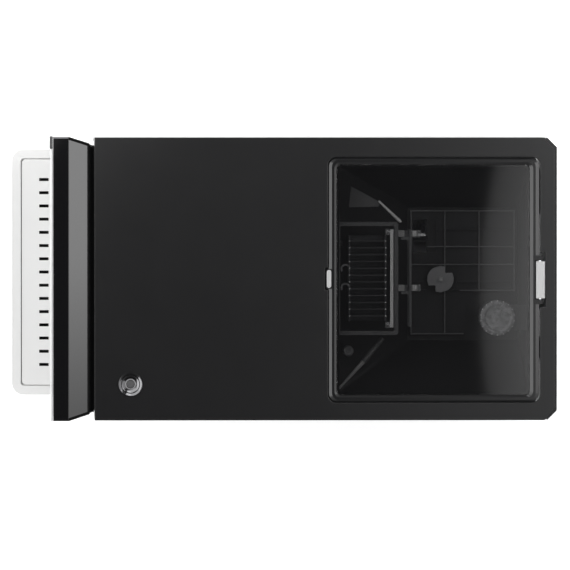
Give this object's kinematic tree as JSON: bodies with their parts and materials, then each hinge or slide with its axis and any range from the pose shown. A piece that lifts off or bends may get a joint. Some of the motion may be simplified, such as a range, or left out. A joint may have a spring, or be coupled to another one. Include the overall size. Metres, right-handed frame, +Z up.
{
  "type": "countertop ice and water dispenser",
  "caption": "Slim countertop ice and water dispenser with a smoked window lid over its ice bin, an overhanging front head, push levers and a pull-out drip tray.",
  "frame": {"origin": "on the floor under the centre of the whole machine, drip tray included", "axes": "+Z up, -Y to the front where a glass is filled, +X to the right seen from the front"},
  "size_m": [0.2916, 0.56, 0.45],
  "materials": {
    "satin_black": "satin black moulding",
    "gloss_black": "high gloss black",
    "smoked_window": "smoked clear pane",
    "sheet_grey": "silver-grey coated sheet",
    "face_steel": "brushed",
    "screw_steel": "turned",
    "bright_chrome": "polished",
    "white_moulding": "smooth white",
    "dark_moulding": "dark moulding",
    "clear_moulding": "frosted clear moulding",
    "foot_rubber": "matt rubber",
    "seal_rubber": "soft seal",
    "hose": "clear flexible hose",
    "copper_line": "drawn copper tube",
    "bare_aluminium": "mill finish",
    "motor_casing": "moulded motor casing",
    "black_enamel": "black enamel",
    "circuit_board": "green board"
  },
  "bodies": {
    "cabinet": {"base_pan": "sheet_grey", "foot_front_left": "foot_rubber", "foot_front_right": "foot_rubber", "foot_rear_left": "foot_rubber", "foot_rear_right": "foot_rubber", "left_side_panel": "sheet_grey", "right_side_panel": "sheet_grey", "rear_panel": "sheet_grey", "top_cover": "satin_black", "bay_liner": "white_moulding", "head_housing": "gloss_black", "face_plate": "face_steel", "display_glass": "gloss_black", "face_end_trim": "dark_moulding", "hinge_block": "face_steel", "hinge_pin": "bright_chrome", "lid_seal": "seal_rubber", "ice_bin": "dark_moulding", "bin_hopper": "dark_moulding", "floor_grid": "dark_moulding", "agitator_motor": "motor_casing", "filter_canister": "dark_moulding", "evaporator_housing": "dark_moulding", "evaporator_comb": "bare_aluminium", "auger_tube": "white_moulding", "auger_motor": "motor_casing", "ice_chute": "dark_moulding", "water_spout": "bright_chrome", "water_tank": "clear_moulding", "tank_cover": "white_moulding", "water_pump": "dark_moulding", "tank_hose": "hose", "spout_hose": "hose", "button_bezel": "bright_chrome", "button_switch": "dark_moulding", "compressor_plate": "black_enamel", "compressor_shell": "black_enamel", "condenser": "bare_aluminium", "fan_shroud": "dark_moulding", "fan_motor": "motor_casing", "suction_line": "seal_rubber", "discharge_line": "copper_line", "control_board": "circuit_board", "power_inlet": "dark_moulding", "water_inlet": "screw_steel", "drain_fitting": "dark_moulding"},
    "lid": {"lid_frame": "satin_black", "lid_window": "smoked_window"},
    "power_button": {"button_cap": "gloss_black"},
    "ice_paddle": {"ice_lever": "gloss_black"},
    "water_paddle": {"water_lever": "gloss_black"},
    "flap": {"chute_flap": "dark_moulding"},
    "tray": {"drip_tray": "white_moulding"},
    "grille": {"drip_grille": "white_moulding"},
    "auger": {"auger_screw": "screw_steel"},
    "bin_agitator": {"agitator": "clear_moulding"},
    "fan": {"condenser_fan": "dark_moulding"},
    "curtain": {"splash_curtain": "clear_moulding"},
    "canister_cap": {"filter_cap": "clear_moulding"},
    "plug": {"drain_plug": "seal_rubber"}
  },
  "joints": [
    {"name": "lid_hinge", "type": "hinge", "parent": "cabinet", "child": "lid", "pos_m": [0, 0.2628, 0.4474], "axis": [-1, 0, 0], "range_deg": [0, 100]},
    {"name": "button_press", "type": "slide", "parent": "cabinet", "child": "power_button", "axis": [0, 0, -1], "range_m": [0, 0.0025], "stiffness_N_per_m": 300, "springref_m": -0.001},
    {"name": "ice_lever_push", "type": "hinge", "parent": "cabinet", "child": "ice_paddle", "pos_m": [-0.042, -0.18, 0.254], "axis": [1, 0, 0], "range_deg": [0, 12], "stiffness_Nm_per_rad": 0.2, "springref_deg": -5.73},
    {"name": "water_lever_push", "type": "hinge", "parent": "cabinet", "child": "water_paddle", "pos_m": [0.042, -0.18, 0.254], "axis": [1, 0, 0], "range_deg": [0, 12], "stiffness_Nm_per_rad": 0.2, "springref_deg": -5.73},
    {"name": "chute_flap_swing", "type": "hinge", "parent": "cabinet", "child": "flap", "pos_m": [-0.042, -0.2017, 0.259], "axis": [1, 0, 0], "range_deg": [0, 72]},
    {"name": "tray_slide", "type": "slide", "parent": "cabinet", "child": "tray", "axis": [0, -1, 0], "range_m": [0, 0.12]},
    {"name": "grille_lift", "type": "slide", "parent": "tray", "child": "grille", "axis": [0, 0, 1], "range_m": [0, 0.03]},
    {"name": "auger_turn", "type": "hinge", "parent": "cabinet", "child": "auger", "pos_m": [-0.042, 0.168, 0.289], "axis": [0, 1, 0], "continuous": true},
    {"name": "agitator_turn", "type": "hinge", "parent": "cabinet", "child": "bin_agitator", "pos_m": [0.0024, 0.165, 0.334], "axis": [0, 0, 1], "continuous": true},
    {"name": "fan_spin", "type": "hinge", "parent": "cabinet", "child": "fan", "pos_m": [0.094, 0.145, 0.115], "axis": [1, 0, 0], "continuous": true},
    {"name": "curtain_swing", "type": "hinge", "parent": "cabinet", "child": "curtain", "pos_m": [0, 0.1245, 0.407], "axis": [1, 0, 0], "range_deg": [0, 35]},
    {"name": "cap_lift", "type": "slide", "parent": "cabinet", "child": "canister_cap", "axis": [0, 0, 1], "range_m": [0, 0.025]},
    {"name": "plug_pull", "type": "slide", "parent": "cabinet", "child": "plug", "axis": [0, 1, 0], "range_m": [0, 0.03]}
  ],
  "couplings": [
    {"joint": "chute_flap_swing", "follows": "ice_lever_push", "ratio": 6}
  ]
}
